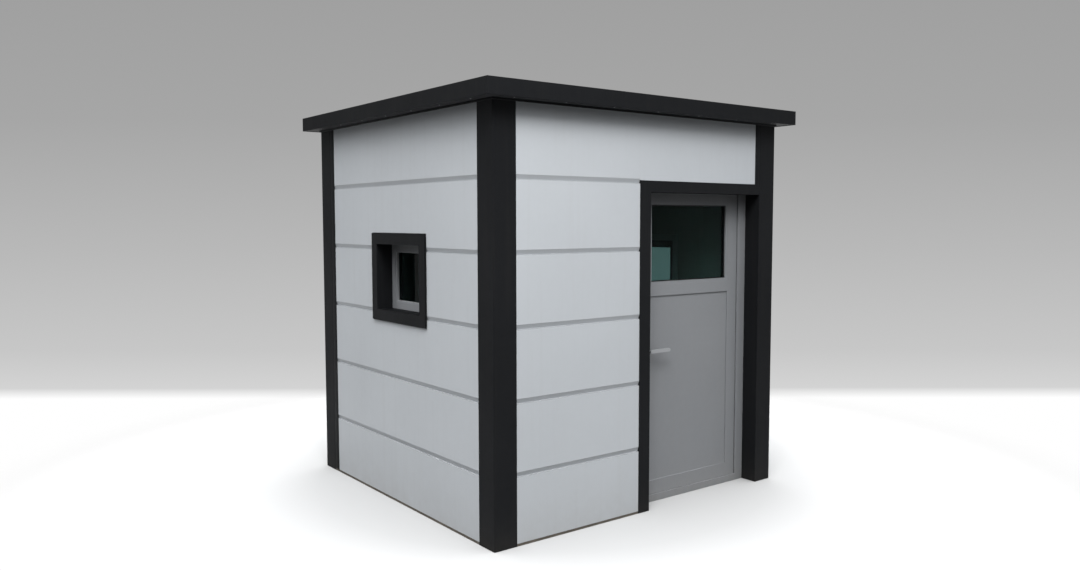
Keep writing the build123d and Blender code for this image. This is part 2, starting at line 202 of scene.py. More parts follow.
def wire_splash(board: Board, given: Node) -> Outputs:
    """Mask of dust that rain throws up from the ground, thin higher up, with faint runs.

    Args:
        board: The group's tree.
        given: The group's inputs.

    Returns:
        The outputs by name.
    """
    fall_power, run_stretch, run_share = 2.4, (26.0, 26.0, 0.9), 0.22
    place = board.place()
    height = board.add("ShaderNodeSeparateXYZ", {0: place}).outputs["Z"]
    fall = board.math("POWER", board.remap(height, 0.0, given.outputs["Reach"], 1.0, 0.0), fall_power)
    cloud = board.add("ShaderNodeTexNoise", {"Vector": place, "Scale": 9.0, "Detail": 6.0, "Roughness": 0.65})
    runs_at = board.add("ShaderNodeMapping", {"Vector": place, "Scale": run_stretch}).outputs[0]
    runs = board.add("ShaderNodeTexNoise", {"Vector": runs_at, "Scale": 1.0, "Detail": 3.0})
    low = board.math("MULTIPLY", fall, board.remap(cloud.outputs["Fac"], 0.3, 0.7, 0.35, 1.0))
    thin = board.remap(runs.outputs["Fac"], 0.52, 0.8, 0.0, run_share)
    return {"Mask": board.math("MULTIPLY", board.math("ADD", low, thin), given.outputs["Amount"], clamp=True)}


def wire_speckle(board: Board, given: Node) -> Outputs:
    """Mask of scattered flecks, as in sheet flooring or a mineral cap sheet.

    Args:
        board: The group's tree.
        given: The group's inputs.

    Returns:
        The outputs by name.
    """
    core, rim = 0.16, 0.34
    cells = board.add("ShaderNodeTexVoronoi", {"Vector": board.place(), "Scale": given.outputs["Scale"]})
    spots = board.remap(cells.outputs["Distance"], core, rim, 1.0, 0.0)
    draw = board.add("ShaderNodeSeparateColor", {0: cells.outputs["Color"]}).outputs["Red"]
    return {"Mask": board.math("MULTIPLY", spots, board.math("GREATER_THAN", draw, given.outputs["Sparse"]))}


EFFECTS = (
    Effect("tone_mottle", (("Base", "Color", (0.5, 0.5, 0.5, 1)), ("Shade", "Color", (0.4, 0.4, 0.4, 1)),
                           ("Scale", "Float", 1.0), ("Amount", "Float", 0.5)),
           (("Color", "Color"), ("Factor", "Float")), wire_mottle),
    Effect("skin_grain", (("Scale", "Float", 200.0), ("Stretch", "Vector", (1, 1, 1))),
           (("Height", "Float"),), wire_grain),
    Effect("splash_dust", (("Reach", "Float", 0.4), ("Amount", "Float", 0.3)),
           (("Mask", "Float"),), wire_splash),
    Effect("fleck", (("Scale", "Float", 100.0), ("Sparse", "Float", 0.5)),
           (("Mask", "Float"),), wire_speckle),
)


DUST = shade(142, 134, 122)
DUST_ROUGHNESS = 0.4
SHEEN_SPREAD = 0.05


def new_material(name: str) -> tuple[Material, Board]:
    """Make an empty material.

    Args:
        name: Its name.

    Returns:
        The material and its board.
    """
    material = bpy.data.materials.new(name)
    material.use_nodes = True
    return material, Board(material.node_tree)


class Sheen(Enum):
    """How glossy a finish is, as the shader's roughness."""

    SATIN = 0.38
    EGGSHELL = 0.48
    MATT = 0.62
    DRY = 0.8


@dataclass(frozen=True)
class Finish:
    """A surface finish with two tones, a skin and some dust."""

    name: str
    base: Colour
    tone: Colour
    sheen: Sheen
    metal: float = 0.0
    specular: float = 0.5
    amount: float = 0.6
    scale: float = 1.6
    skin_scale: float = 420.0
    skin_depth: float = 0.0004
    skin_strength: float = 0.25
    stretch: Triple = (1.0, 1.0, 1.0)
    dust: float = 0.0
    dust_reach: float = 0.35
    fleck: Colour | None = None
    fleck_scale: float = 160.0
    fleck_sparse: float = 0.5

    def build(self) -> Material:
        """Make the material.

        Returns:
            The finished material.
        """
        material, board = new_material(self.name)
        tones = board.group("tone_mottle", {"Base": self.base, "Shade": self.tone, "Scale": self.scale,
                                            "Amount": self.amount})
        colour = tones.outputs["Color"]
        gloss = self.sheen.value
        rough = board.remap(tones.outputs["Factor"], 0.0, 1.0, gloss - SHEEN_SPREAD, gloss + SHEEN_SPREAD)
        if self.fleck:
            flecks = board.group("fleck", {"Scale": self.fleck_scale, "Sparse": self.fleck_sparse})
            colour = board.mix(flecks.outputs["Mask"], colour, self.fleck)
        if self.dust:
            dust = board.group("splash_dust", {"Reach": self.dust_reach, "Amount": self.dust}).outputs["Mask"]
            colour = board.mix(dust, colour, DUST)
            rough = board.math("ADD", rough, board.math("MULTIPLY", dust, DUST_ROUGHNESS), clamp=True)
        skin = board.group("skin_grain", {"Scale": self.skin_scale, "Stretch": self.stretch})
        bump = board.add("ShaderNodeBump", {"Strength": self.skin_strength, "Distance": self.skin_depth,
                                            "Height": skin.outputs["Height"]}).outputs[0]
        shader = board.add("ShaderNodeBsdfPrincipled", {
            "Base Color": colour, "Roughness": rough, "Metallic": self.metal, "Normal": bump,
            "Specular IOR Level": self.specular})
        board.add("ShaderNodeOutputMaterial", {"Surface": shader.outputs[0]})
        return material


@dataclass(frozen=True)
class Glass:
    """Tinted glazing, with a faint film that clouds its gloss."""

    name: str
    tint: Colour
    tone: Colour
    bending: float = 1.12
    film: float = 0.03

    def build(self) -> Material:
        """Make the material.

        Returns:
            The finished material.
        """
        material, board = new_material(self.name)
        tones = board.group("tone_mottle", {"Base": self.tint, "Shade": self.tone, "Scale": 2.2,
                                            "Amount": 0.8})
        rough = board.remap(tones.outputs["Factor"], 0.0, 1.0, 0.0, self.film)
        shader = board.add("ShaderNodeBsdfPrincipled", {
            "Base Color": tones.outputs["Color"], "Roughness": rough, "Metallic": 0.0,
            "IOR": self.bending, "Transmission Weight": 1.0})
        board.add("ShaderNodeOutputMaterial", {"Surface": shader.outputs[0]})
        return material


PANEL = Finish("light_grey_panel", shade(193, 197, 201), shade(186, 190, 194), Sheen.EGGSHELL, specular=0.2,
               dust=0.22, dust_reach=0.5, skin_scale=380.0)
ANTHRACITE = Finish("anthracite_powder_coat", shade(29, 30, 32), shade(24, 25, 27), Sheen.MATT, specular=0.08,
                    dust=0.05, dust_reach=0.3, skin_scale=620.0, skin_strength=0.35)
DOOR_GREY = Finish("door_grey_coat", shade(139, 141, 144), shade(131, 133, 136), Sheen.EGGSHELL, specular=0.2,
                   dust=0.22, skin_scale=520.0)
TINTED = Glass("tinted_glass_pane", shade(150, 176, 174), shade(142, 170, 168))
STEEL = Finish("satin_steel_finish", shade(172, 174, 177), shade(160, 162, 165), Sheen.EGGSHELL, metal=0.35,
               skin_scale=900.0, stretch=(1.0, 1.0, 0.05), skin_strength=0.12, skin_depth=0.0002)
LAMINATE = Finish("lining_board_laminate", shade(176, 177, 174), shade(168, 169, 166), Sheen.EGGSHELL,
                  skin_scale=700.0)
CEILING = Finish("ceiling_board_white", shade(214, 214, 210), shade(205, 205, 201), Sheen.MATT)
VINYL = Finish("floor_vinyl_sheet", shade(112, 114, 116), shade(104, 106, 108), Sheen.SATIN,
               fleck=shade(150, 152, 154), fleck_scale=210.0)
BOARD_FLOOR = Finish("floor_board_edge", shade(140, 116, 86), shade(122, 98, 70), Sheen.DRY, scale=6.0)
TRACK = Finish("track_metal_finish", shade(66, 60, 54), shade(52, 46, 41), Sheen.MATT, dust=0.5,
               dust_reach=0.1, amount=0.9, scale=7.0)
SOFFIT = Finish("soffit_dark_sheet", shade(34, 35, 37), shade(28, 29, 31), Sheen.MATT, specular=0.15)
DECK = Finish("deck_edge_metal", shade(90, 92, 94), shade(80, 82, 84), Sheen.MATT, metal=0.6)
MEMBRANE = Finish("roof_membrane_sheet", shade(98, 100, 102), shade(86, 88, 90), Sheen.DRY,
                  fleck=shade(122, 124, 126), fleck_scale=320.0, fleck_sparse=0.6)
RUBBER = Finish("black_rubber_seal", shade(24, 25, 26), shade(18, 19, 20), Sheen.MATT, specular=0.3,
                skin_scale=900.0)
# Grey of the groove strips: partly a joint seal, partly painted shade that darkens the lit lower lip of each
# groove.
JOINT_SEAL_AND_SHADE = Finish("grey_joint_strip", shade(158, 160, 163), shade(149, 151, 154), Sheen.MATT, specular=0.3)
CASING = Finish("white_casing_profile", shade(208, 209, 207), shade(199, 200, 198), Sheen.SATIN)
SKIRTING = Finish("dark_skirting_board", shade(74, 76, 79), shade(64, 66, 69), Sheen.EGGSHELL)

AnyFinish = Union[Finish, Glass]

SLOT_FINISHES: dict[str, AnyFinish] = {
    "panel_light_grey": PANEL,
    "trim_anthracite": ANTHRACITE,
    "door_grey": DOOR_GREY,
    "tinted_glass": TINTED,
    "satin_steel": STEEL,
    "lining_laminate": LAMINATE,
    "ceiling_white": CEILING,
    "floor_vinyl": VINYL,
    "floor_board": BOARD_FLOOR,
    "track_metal": TRACK,
    "soffit_dark": SOFFIT,
    "deck_metal": DECK,
    "roof_membrane": MEMBRANE,
}


class Paintshop:
    """Makes each finish once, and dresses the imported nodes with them."""

    def __init__(self) -> None:
        """Build the shared effects."""
        self.made: dict[str, Material] = {}
        for effect in EFFECTS:
            effect.build()

    def get(self, finish: AnyFinish) -> Material:
        """Return a finish's material, making it at first use.

        Args:
            finish: The finish.

        Returns:
            Its material.
        """
        if finish.name not in self.made:
            self.made[finish.name] = finish.build()
        return self.made[finish.name]

    def dress_frame(self) -> None:
        """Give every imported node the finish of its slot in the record."""
        slots = {part["node"]: part["material_slot"] for part in frame["record"]["subparts"]}
        for name, node in frame["nodes"].items():
            material = self.get(SLOT_FINISHES[slots[name]])
            node.data.materials.clear()
            node.data.materials.append(material)
            LOG.info("%s: %s", name, material.name)


class Axis(Enum):
    """A direction of the row frame."""

    X = 0
    Y = 1
    Z = 2


TURNS = {Axis.X: (0.0, math.pi / 2, 0.0), Axis.Y: (math.pi / 2, 0.0, 0.0), Axis.Z: (0.0, 0.0, 0.0)}


class Part(Enum):
    """What an edit picks."""

    FACE = "FACE"
    EDGE = "EDGE"
    VERT = "VERT"


class Bench:
    """Modelling steps, as done by hand: start, pick, shape, soften, finish."""

    SHARP_ANGLE = math.radians(35)
    SMOOTH_ANGLE = math.radians(32)
    WELD_DISTANCE = 0.00002

    def __init__(self, shop: Paintshop) -> None:
        """Keep the paintshop that finishes each piece."""
        self.shop = shop
        self.count = 0

    @staticmethod
    def clear() -> None:
        """Deselect every object."""
        bpy.ops.object.select_all(action="DESELECT")

    @staticmethod
    def take(piece: Piece) -> None:
        """Select one piece alone and make it active.

        Args:
            piece: The piece.
        """
        Bench.clear()
        piece.select_set(True)
        bpy.context.view_layer.objects.active = piece

    @staticmethod
    def leave() -> None:
        """Return to object mode."""
        bpy.ops.object.mode_set(mode="OBJECT")

    @staticmethod
    def settle(name: str) -> Piece:
        """Name the piece just added, and put its place, turn and size into its mesh.

        Args:
            name: The piece's name.

        Returns:
            The piece.
        """
        piece = bpy.context.object
        piece.name = name
        Bench.take(piece)
        bpy.ops.object.transform_apply(location=True, rotation=True, scale=True)
        return piece

    def block(self, name: str, low: Triple, high: Triple) -> Piece:
        """Start a straight-sided piece.

        Args:
            name: The piece's name.
            low: One corner.
            high: The corner across from it.

        Returns:
            The new piece.
        """
        self.clear()
        first, last = (Vector([choose(ends) for ends in zip(low, high)]) for choose in (min, max))
        bpy.ops.mesh.primitive_cube_add(size=1.0, location=(first + last) / 2, scale=last - first)
        return self.settle(name)

    def rod(self, name: str, middle: Triple, radius: float, length: float, axis: Axis, sides: int) -> Piece:
        """Start a round piece.

        Args:
            name: The piece's name.
            middle: Its middle.
            radius: Its radius.
            length: Its length.
            axis: The way it points.
            sides: How many sides its circle has.

        Returns:
            The new piece.
        """
        self.clear()
        bpy.ops.mesh.primitive_cylinder_add(vertices=sides, radius=radius, depth=length, location=middle,
                                            rotation=TURNS[axis])
        return self.settle(name)

    @staticmethod
    def spot(item: Element) -> tuple[Vector, Vector]:
        """Tell where an element is and which way it looks or runs.

        Args:
            item: A face, an edge or a point.

        Returns:
            Its middle, and its normal or an edge's direction.
        """
        if isinstance(item, bmesh.types.BMFace):
            return item.calc_center_median(), item.normal
        if isinstance(item, bmesh.types.BMVert):
            return item.co, item.normal
        first, last = (vert.co for vert in item.verts)
        return (first + last) / 2, (last - first).normalized()

    @staticmethod
    def pick(piece: Piece, part: Part, test: Test) -> int:
        """Enter edit mode and select the faces, edges or points that pass a test.

        Args:
            piece: The piece to edit.
            part: What to select.
            test: Takes a middle, and a normal or an edge's direction.

        Returns:
            How many were selected.
        """
        Bench.take(piece)
        bpy.ops.object.mode_set(mode="EDIT")
        bpy.ops.mesh.select_mode(type=part.value)
        bpy.ops.mesh.select_all(action="DESELECT")
        mesh = bmesh.from_edit_mesh(piece.data)
        found = 0
        for item in {Part.FACE: mesh.faces, Part.EDGE: mesh.edges, Part.VERT: mesh.verts}[part]:
            item.select_set(test(*Bench.spot(item)))
            found += item.select
        bmesh.update_edit_mesh(piece.data)
        return found

    def raise_faces(self, piece: Piece, test: Test, inset: float, lift: Triple) -> None:
        """Inset the picked faces and extrude what is inside.

        Args:
            piece: The piece to edit.
            test: Picks the faces.
            inset: How far in the new edge runs.
            lift: How the inner face moves.
        """
        if self.pick(piece, Part.FACE, test):
            bpy.ops.mesh.inset(thickness=inset, use_even_offset=True)
            bpy.ops.mesh.extrude_region_move(TRANSFORM_OT_translate={"value": lift})
        self.leave()

    def round_edges(self, piece: Piece, test: Test, width: float, segments: int) -> None:
        """Bevel the picked edges.

        Args:
            piece: The piece to edit.
            test: Picks the edges by middle and direction.
            width: Width of the bevel.
            segments: Steps of the bevel.
        """
        if self.pick(piece, Part.EDGE, test):
            bpy.ops.mesh.bevel(offset=width, segments=segments, affect="EDGES")
        self.leave()

    def soften(self, piece: Piece, width: float, segments: int = 2) -> None:
        """Break every sharp edge by the same small amount.

        Args:
            piece: The piece to edit.
            width: Width of the broken edge.
            segments: Steps of the bevel.
        """
        self.take(piece)
        bevel = piece.modifiers.new("broken_edge", "BEVEL")
        bevel.width = width
        bevel.segments = segments
        bevel.limit_method = "ANGLE"
        bevel.angle_limit = self.SHARP_ANGLE
        bpy.ops.object.modifier_apply(modifier=bevel.name)

    def ring(self, name: str, axis: Axis, level: float, low: Pair, high: Pair, width: float,
             depth: float) -> Piece:
        """Start a rectangular ring that lies flat across an axis.

        Args:
            name: The piece's name.
            axis: The axis that the ring lies across.
            level: Where its first face lies on that axis.
            low: Lowest outer corner in the other two axes.
            high: Highest outer corner in the other two axes.
            width: Width of the ring's face.
            depth: How far it reaches along the axis, with its sign.

        Returns:
            The new piece.
        """
        self.clear()
        wide, tall = high[0] - low[0], high[1] - low[1]
        place = [(low[0] + high[0]) / 2, (low[1] + high[1]) / 2]
        place.insert(axis.value, level)
        bpy.ops.mesh.primitive_plane_add(size=1.0, location=place, rotation=TURNS[axis])
        bpy.context.object.scale = (tall, wide, 1.0) if axis is Axis.X else (wide, tall, 1.0)
        piece = self.settle(name)
        lift = [0.0, 0.0, 0.0]
        lift[axis.value] = depth
        self.pick(piece, Part.FACE, lambda at, normal: True)
        bpy.ops.mesh.inset(thickness=width, use_even_offset=True)
        bpy.ops.mesh.delete(type="FACE")
        bpy.ops.mesh.select_all(action="SELECT")
        bpy.ops.mesh.extrude_region_move(TRANSFORM_OT_translate={"value": lift})
        self.leave()
        return piece

    def join(self, name: str, pieces: list[Piece]) -> Piece:
        """Make one piece of several.

        Args:
            name: The joined piece's name.
            pieces: The pieces to join.

        Returns:
            The joined piece.
        """
        self.clear()
        for piece in pieces:
            piece.select_set(True)
        bpy.context.view_layer.objects.active = pieces[0]
        bpy.ops.object.join()
        pieces[0].name = name
        return pieces[0]

    def repeat(self, name: str, model: Piece, shifts: list[Triple]) -> Piece:
        """Copy a model to other places and join the copies to it.

        Args:
            name: The joined piece's name.
            model: The first of the like pieces.
            shifts: How far each further copy stands from it.

        Returns:
            The joined piece.
        """
        copies = [model]
        for shift in shifts:
            self.take(model)
            bpy.ops.object.duplicate()
            bpy.context.object.location = shift
            copies.append(self.settle("copy"))
        return self.join(name, copies)

    def finish(self, piece: Piece, body: str, finish: AnyFinish, slot: str | None = None) -> None:
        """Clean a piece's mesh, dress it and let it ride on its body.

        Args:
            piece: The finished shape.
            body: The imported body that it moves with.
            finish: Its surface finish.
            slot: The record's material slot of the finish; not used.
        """
        self.take(piece)
        bpy.ops.object.mode_set(mode="EDIT")
        bpy.ops.mesh.select_mode(type="FACE")
        bpy.ops.mesh.select_all(action="SELECT")
        bpy.ops.mesh.remove_doubles(threshold=self.WELD_DISTANCE)
        bpy.ops.mesh.normals_make_consistent(inside=False)
        self.leave()
        bpy.ops.object.shade_smooth_by_angle(angle=self.SMOOTH_ANGLE)
        piece.data.materials.clear()
        piece.data.materials.append(self.shop.get(finish))
        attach(piece, body)
        self.count += 1
        LOG.info("%s rides on %s: %d faces", piece.name, body, len(piece.data.polygons))


class Side(Enum):
    """The two walls that hold windows, by the way they face along X."""

    LEFT = -1
    RIGHT = 1


def inner_rim(level: float, half_x: float, half_y: float) -> Test:
    """Return a test for the edges of a level rectangle about the booth's middle."""
    return lambda at, way: near(at.z, level, 0.001) and (
        near(abs(at.x), half_x, 0.001) or near(abs(at.y), half_y, 0.001))


def around(low: Vector, high: Vector, grow: float = 0.0) -> tuple[Pair, Pair]:
    """Return the Y and Z corners of a box, moved outwards."""
    return (low.y - grow, low.z - grow), (high.y + grow, high.z + grow)


@dataclass
class WindowDressing:
    """Gaskets, bead, outer seal, inner casing and weep caps of one window."""

    side: Side
    gasket_width: float = 0.007
    gasket_depth: float = 0.006
    bead_width: float = 0.012
    bead_setback: float = 0.004
    bead_slope: float = 0.008
    casing_width: float = 0.05
    casing_depth: float = 0.01
    casing_lip: float = 0.01
    seal: float = 0.005
    seal_round: float = 0.0035
    cap_offset: float = 0.14
    cap_half: float = 0.016
    cap_rise: float = 0.0015
    cap_heights: Pair = (0.016, 0.023)

    def build(self, bench: Bench) -> None:
        """Build all the window's small pieces.

        Args:
            bench: Where pieces are made.
        """
        name, out = self.side.name.lower(), float(self.side.value)
        low, high = box(f"window_glass_{name}")
        opening, middle, half = around(low, high), (low + high) / 2, (high - low) / 2
        glass = sorted((low.x * out, high.x * out))
        sash_low, sash_high = box(f"window_frame_{name}")
        sash = sorted((sash_low.x * out, sash_high.x * out))
        for face, level, way in (("outer", glass[1], out), ("inner", glass[0], -out)):
            gasket = bench.ring(f"window_gasket_{face}_{name}", Axis.X, level * out, *opening,
                                self.gasket_width, self.gasket_depth * way)
            bench.soften(gasket, 0.0015)
            bench.finish(gasket, "booth", RUBBER)
        start, front = glass[1] + self.gasket_depth, sash[1] - self.bead_setback
        bead = bench.ring(f"window_bead_{name}", Axis.X, start * out, *opening, self.bead_width,
                          (front - start) * out)
        y_in, z_in = half.y - self.bead_width, half.z - self.bead_width
        bench.round_edges(bead, lambda at, way: near(at.x, front * out) and (
            near(abs(at.y - middle.y), y_in) or near(abs(at.z - middle.z), z_in)), self.bead_slope, 2)
        bench.finish(bead, "booth", DOOR_GREY, "door_grey")
        self.outer_seal(bench, name, out)
        lining = min(abs(v.x) for v in box(f"{name}_lining"))
        casing = bench.ring(f"window_casing_{name}", Axis.X, lining * out,
                            *around(sash_low, sash_high, self.casing_width - self.casing_lip),
                            self.casing_width, -self.casing_depth * out)
        bench.soften(casing, 0.003, 3)
        lip = bench.ring(f"window_casing_lip_{name}", Axis.X, lining * out, *around(sash_low, sash_high),
                         self.casing_lip, (sash[0] - lining) * out)
        bench.finish(bench.join(f"window_casing_{name}", [casing, lip]), "booth", CASING, "ceiling_white")
        caps = []
        face, foot, top = sash[1] * out, *(sash_low.z + height for height in self.cap_heights)
        for y in (middle.y - self.cap_offset, middle.y + self.cap_offset):
            caps.append(bench.block("cap", (face - self.cap_rise, y - self.cap_half, foot),
                                    (face + self.cap_rise, y + self.cap_half, top)))
            bench.soften(caps[-1], 0.0012)
        bench.finish(bench.join(f"window_weep_caps_{name}", caps), "booth", DOOR_GREY, "door_grey")

    def outer_seal(self, bench: Bench, name: str, out: float) -> None:
        """Build the rubber that closes the joint between the trim and the wall.

        Args:
            bench: Where pieces are made.
            name: The side's name.
            out: The way it faces along X.
        """
        low, high = box(f"window_trim_{name}")
        face = max(low.x * out, high.x * out)
        wall = max(v.x * out for v in box(f"{name}_wall"))
        seal = bench.ring(f"window_sealant_{name}", Axis.X, wall * out, *around(low, high, self.seal),
                          self.seal, (face - wall) / 2 * out)
        bench.round_edges(seal, lambda at, way: abs(at.x) > wall + 0.001, self.seal_round, 3)
        bench.finish(seal, "booth", RUBBER)


@dataclass
class DoorDressing:
    """Seals, sill tread, lock parts, screws and hinge caps of the door."""

    gasket_width: float = 0.006
    gasket_depth: float = 0.005
    glass_cover: float = 0.02
    frame_lip: float = 0.007
    frame_face: float = 0.05
    seal_width: float = 0.006
    seal_depth: float = 0.003
    tread_foot: float = 0.03
    rib_pitch: float = 0.0065
    rib_width: float = 0.0025
    screw_height: float = 0.0014
    screw_socket: float = 0.0009
    plate_screws: float = 0.014
    collar_radius: float = 0.0135
    collar_height: float = 0.004
    keyway: Triple = (0.0009, 0.0003, 0.0045)
    hinge_drops: Triple = (0.0, 0.775, 1.55)
    hinge_height: float = 0.1
    hinge_plate: float = 0.003
    hinge_screws: Triple = (0.013, 0.013, 0.034)
    cap_radius: float = 0.0084
    cap_height: float = 0.005

    def build(self, bench: Bench) -> None:
        """Build all the door's small pieces.

        Args:
            bench: Where pieces are made.
        """
        self.glazing(bench)
        self.rebate(bench)
        self.tread(bench)
        self.lock_edge(bench)
        self.furniture(bench)
        self.hinges(bench)

    def glazing(self, bench: Bench) -> None:
        """Rubber round both faces of the door glass.

        Args:
            bench: Where pieces are made.
        """
        low, high = box("door_glass")
        cover = self.glass_cover
        corners = ((low.x + cover, low.z + cover), (high.x - cover, high.z - cover))
        for name, level, way in (("outer", low.y, -1.0), ("inner", high.y, 1.0)):
            gasket = bench.ring(f"door_gasket_{name}", Axis.Y, level, *corners, self.gasket_width,
                                way * self.gasket_depth)
            bench.soften(gasket, 0.0015)
            bench.finish(gasket, "door", RUBBER)

    def rebate(self, bench: Bench) -> None:
        """Seal strip round the frame's lip, and the wiper under the leaf.

        Args:
            bench: Where pieces are made.
        """
        jamb_low, jamb_high = box("door_jamb_lock")
        hinge, head, sill = box("door_jamb_hinge")[0].x, box("door_frame_head")[0].z, box("door_sill")[1].z
        width = self.seal_width
        strip = bench.ring("door_rebate_seal", Axis.Y, jamb_low.y + self.frame_lip,
                           (jamb_high.x - width, sill - width), (hinge + width, head + width), width,
                           self.seal_depth)
        bench.soften(strip, 0.0011, 3)
        bench.finish(strip, "booth", RUBBER)
        low, high = box("door_leaf")
        wiper = bench.block("door_bottom_wiper", (low.x + 0.006, low.y + 0.006, low.z - 0.003),
                            (high.x - 0.006, low.y + 0.016, low.z))
        bench.soften(wiper, 0.001)
        bench.finish(wiper, "door", RUBBER)

    def tread(self, bench: Bench) -> None:
        """Ribbed metal tread on the sill.

        Args:
            bench: Where pieces are made.
        """
        front, back = (corner.y for corner in box("door_leaf"))
        left, right, foot = box("door_jamb_lock")[1].x, box("door_jamb_hinge")[0].x, self.tread_foot
        ribs = [bench.block("sill_tread", (left + 0.004, front + 0.004, foot),
                            (right - 0.004, back - 0.003, foot + 0.0012))]
        y = front + 0.009
        while y < back - 0.008:
            ribs.append(bench.block("rib", (left + 0.006, y, foot + 0.0008),
                                    (right - 0.006, y + self.rib_width, foot + 0.0022)))
            bench.soften(ribs[-1], 0.0006, 1)
            y += self.rib_pitch
        bench.finish(bench.join("sill_tread", ribs), "booth", STEEL, "satin_steel")

    def lock_edge(self, bench: Bench) -> None:
        """Faceplate with latch and bolt on the leaf's edge, and the strike plate that they meet.

        Args:
            bench: Where pieces are made.
        """
        edge, middle = box("door_leaf")[0].x, centre("door_leaf").y
        lever, lock = centre("lever_outside").z, centre("lock_cylinder").z
        jamb = box("door_jamb_lock")[0].x + self.frame_face
        plate, latch, bolt, strike = (
            bench.block(name, (face, middle - half, foot), (face + rise, middle + half, top))
            for name, face, rise, half, foot, top in (
                ("faceplate", edge, -0.002, 0.011, lock - 0.075, lever + 0.085),
                ("latch", edge, -0.0045, 0.007, lever - 0.014, lever + 0.014),
                ("bolt", edge, -0.003, 0.008, lock - 0.02, lock + 0.006),
                ("strike_plate", jamb, 0.0015, 0.014, lock - 0.06, lever + 0.07)))
        bench.round_edges(plate, lambda at, way: abs(way.x) > 0.9, 0.009, 5)
        bench.soften(plate, 0.0005, 1)
        bench.round_edges(latch, lambda at, way: abs(way.z) > 0.9 and at.x < edge - 0.004, 0.002, 3)
        bench.soften(bolt, 0.0008)
        bench.finish(bench.join("lock_faceplate", [plate, latch, bolt]), "door", STEEL, "satin_steel")
        bench.round_edges(strike, lambda at, way: abs(way.x) > 0.9, 0.006, 4)
        bench.raise_faces(strike, lambda at, normal: normal.x > 0.9, 0.006, (-0.0009, 0.0, 0.0))
        bench.finish(strike, "booth", STEEL, "satin_steel")

    def screw(self, bench: Bench, seat: Triple, way: float, radius: float) -> Piece:
        """Model one dished screw head with its socket, facing along Y.

        Args:
            bench: Where pieces are made.
            seat: Where the head's underside sits.
            way: Which way it faces.
            radius: The head's radius.

        Returns:
            The head.
        """
        x, y, z = seat
        top = y + way * self.screw_height
        head = bench.rod("screw", (x, (y + top) / 2, z), radius, self.screw_height, Axis.Y, 16)
        bench.raise_faces(head, lambda at, normal: near(at.y, top), radius / 2,
                          (0.0, -way * self.screw_socket, 0.0))
        bench.soften(head, 0.0003, 1)
        return head

    def furniture(self, bench: Bench) -> None:
        """Collars, keyways and screws of the handle plates.

        Args:
            bench: Where pieces are made.
        """
        for side, name, way in ((0, "outside", -1.0), (1, "inside", 1.0)):
            low, high = box(f"handle_plate_{name}")
            face, x = (low, high)[side].y, (low.x + high.x) / 2
            heads = [self.screw(bench, (x, face, z), way, 0.0035)
                     for z in (low.z + self.plate_screws, high.z - self.plate_screws)]
            bench.finish(bench.join(f"plate_screws_{name}", heads), "door", STEEL, "satin_steel")
            middle = (x, face + way * self.collar_height / 2, centre(f"lever_{name}").z)
            collar = bench.rod(f"lever_collar_{name}", middle, self.collar_radius, self.collar_height,
                               Axis.Y, 32)
            bench.soften(collar, 0.0012, 3)
            bench.finish(collar, "door", STEEL, "satin_steel")
            middle = Vector((x, box("lock_cylinder")[side].y, centre("lock_cylinder").z))
            key = bench.block(f"keyway_{name}", middle - Vector(self.keyway), middle + Vector(self.keyway))
            bench.soften(key, 0.0002, 1)
            bench.finish(key, "door", RUBBER)

    def hinges(self, bench: Bench) -> None:
        """Domed caps on the hinge knuckles and screws in their plates.

        Args:
            bench: Where pieces are made.
        """
        low, high = box("hinge_door_halves")
        pin = Vector(next(joint["pos_m"] for joint in frame["joints"] if joint["name"] == "door_swing"))
        across, *downs = self.hinge_screws
        caps, feet, screws = [], [], []
        for drop in self.hinge_drops:
            top = high.z - drop
            for level, way, row in ((top, 1.0, caps), (top - self.hinge_height, -1.0, feet)):
                cap = bench.rod("cap", (pin.x, pin.y, level + way * self.cap_height / 2), self.cap_radius,
                                self.cap_height, Axis.Z, 24)
                bench.round_edges(cap, lambda at, along: abs(at.z - level) > 0.004, 0.003, 4)
                row.append(cap)
            screws += [self.screw(bench, (low.x + across, low.y + self.hinge_plate, top - down), 1.0, 0.0032)
                       for down in downs]
        bench.finish(bench.join("hinge_caps_upper", caps), "door", STEEL, "satin_steel")
        bench.finish(bench.join("hinge_caps_lower", feet), "booth", STEEL, "satin_steel")
        bench.finish(bench.join("hinge_screws", screws), "door", STEEL, "satin_steel")


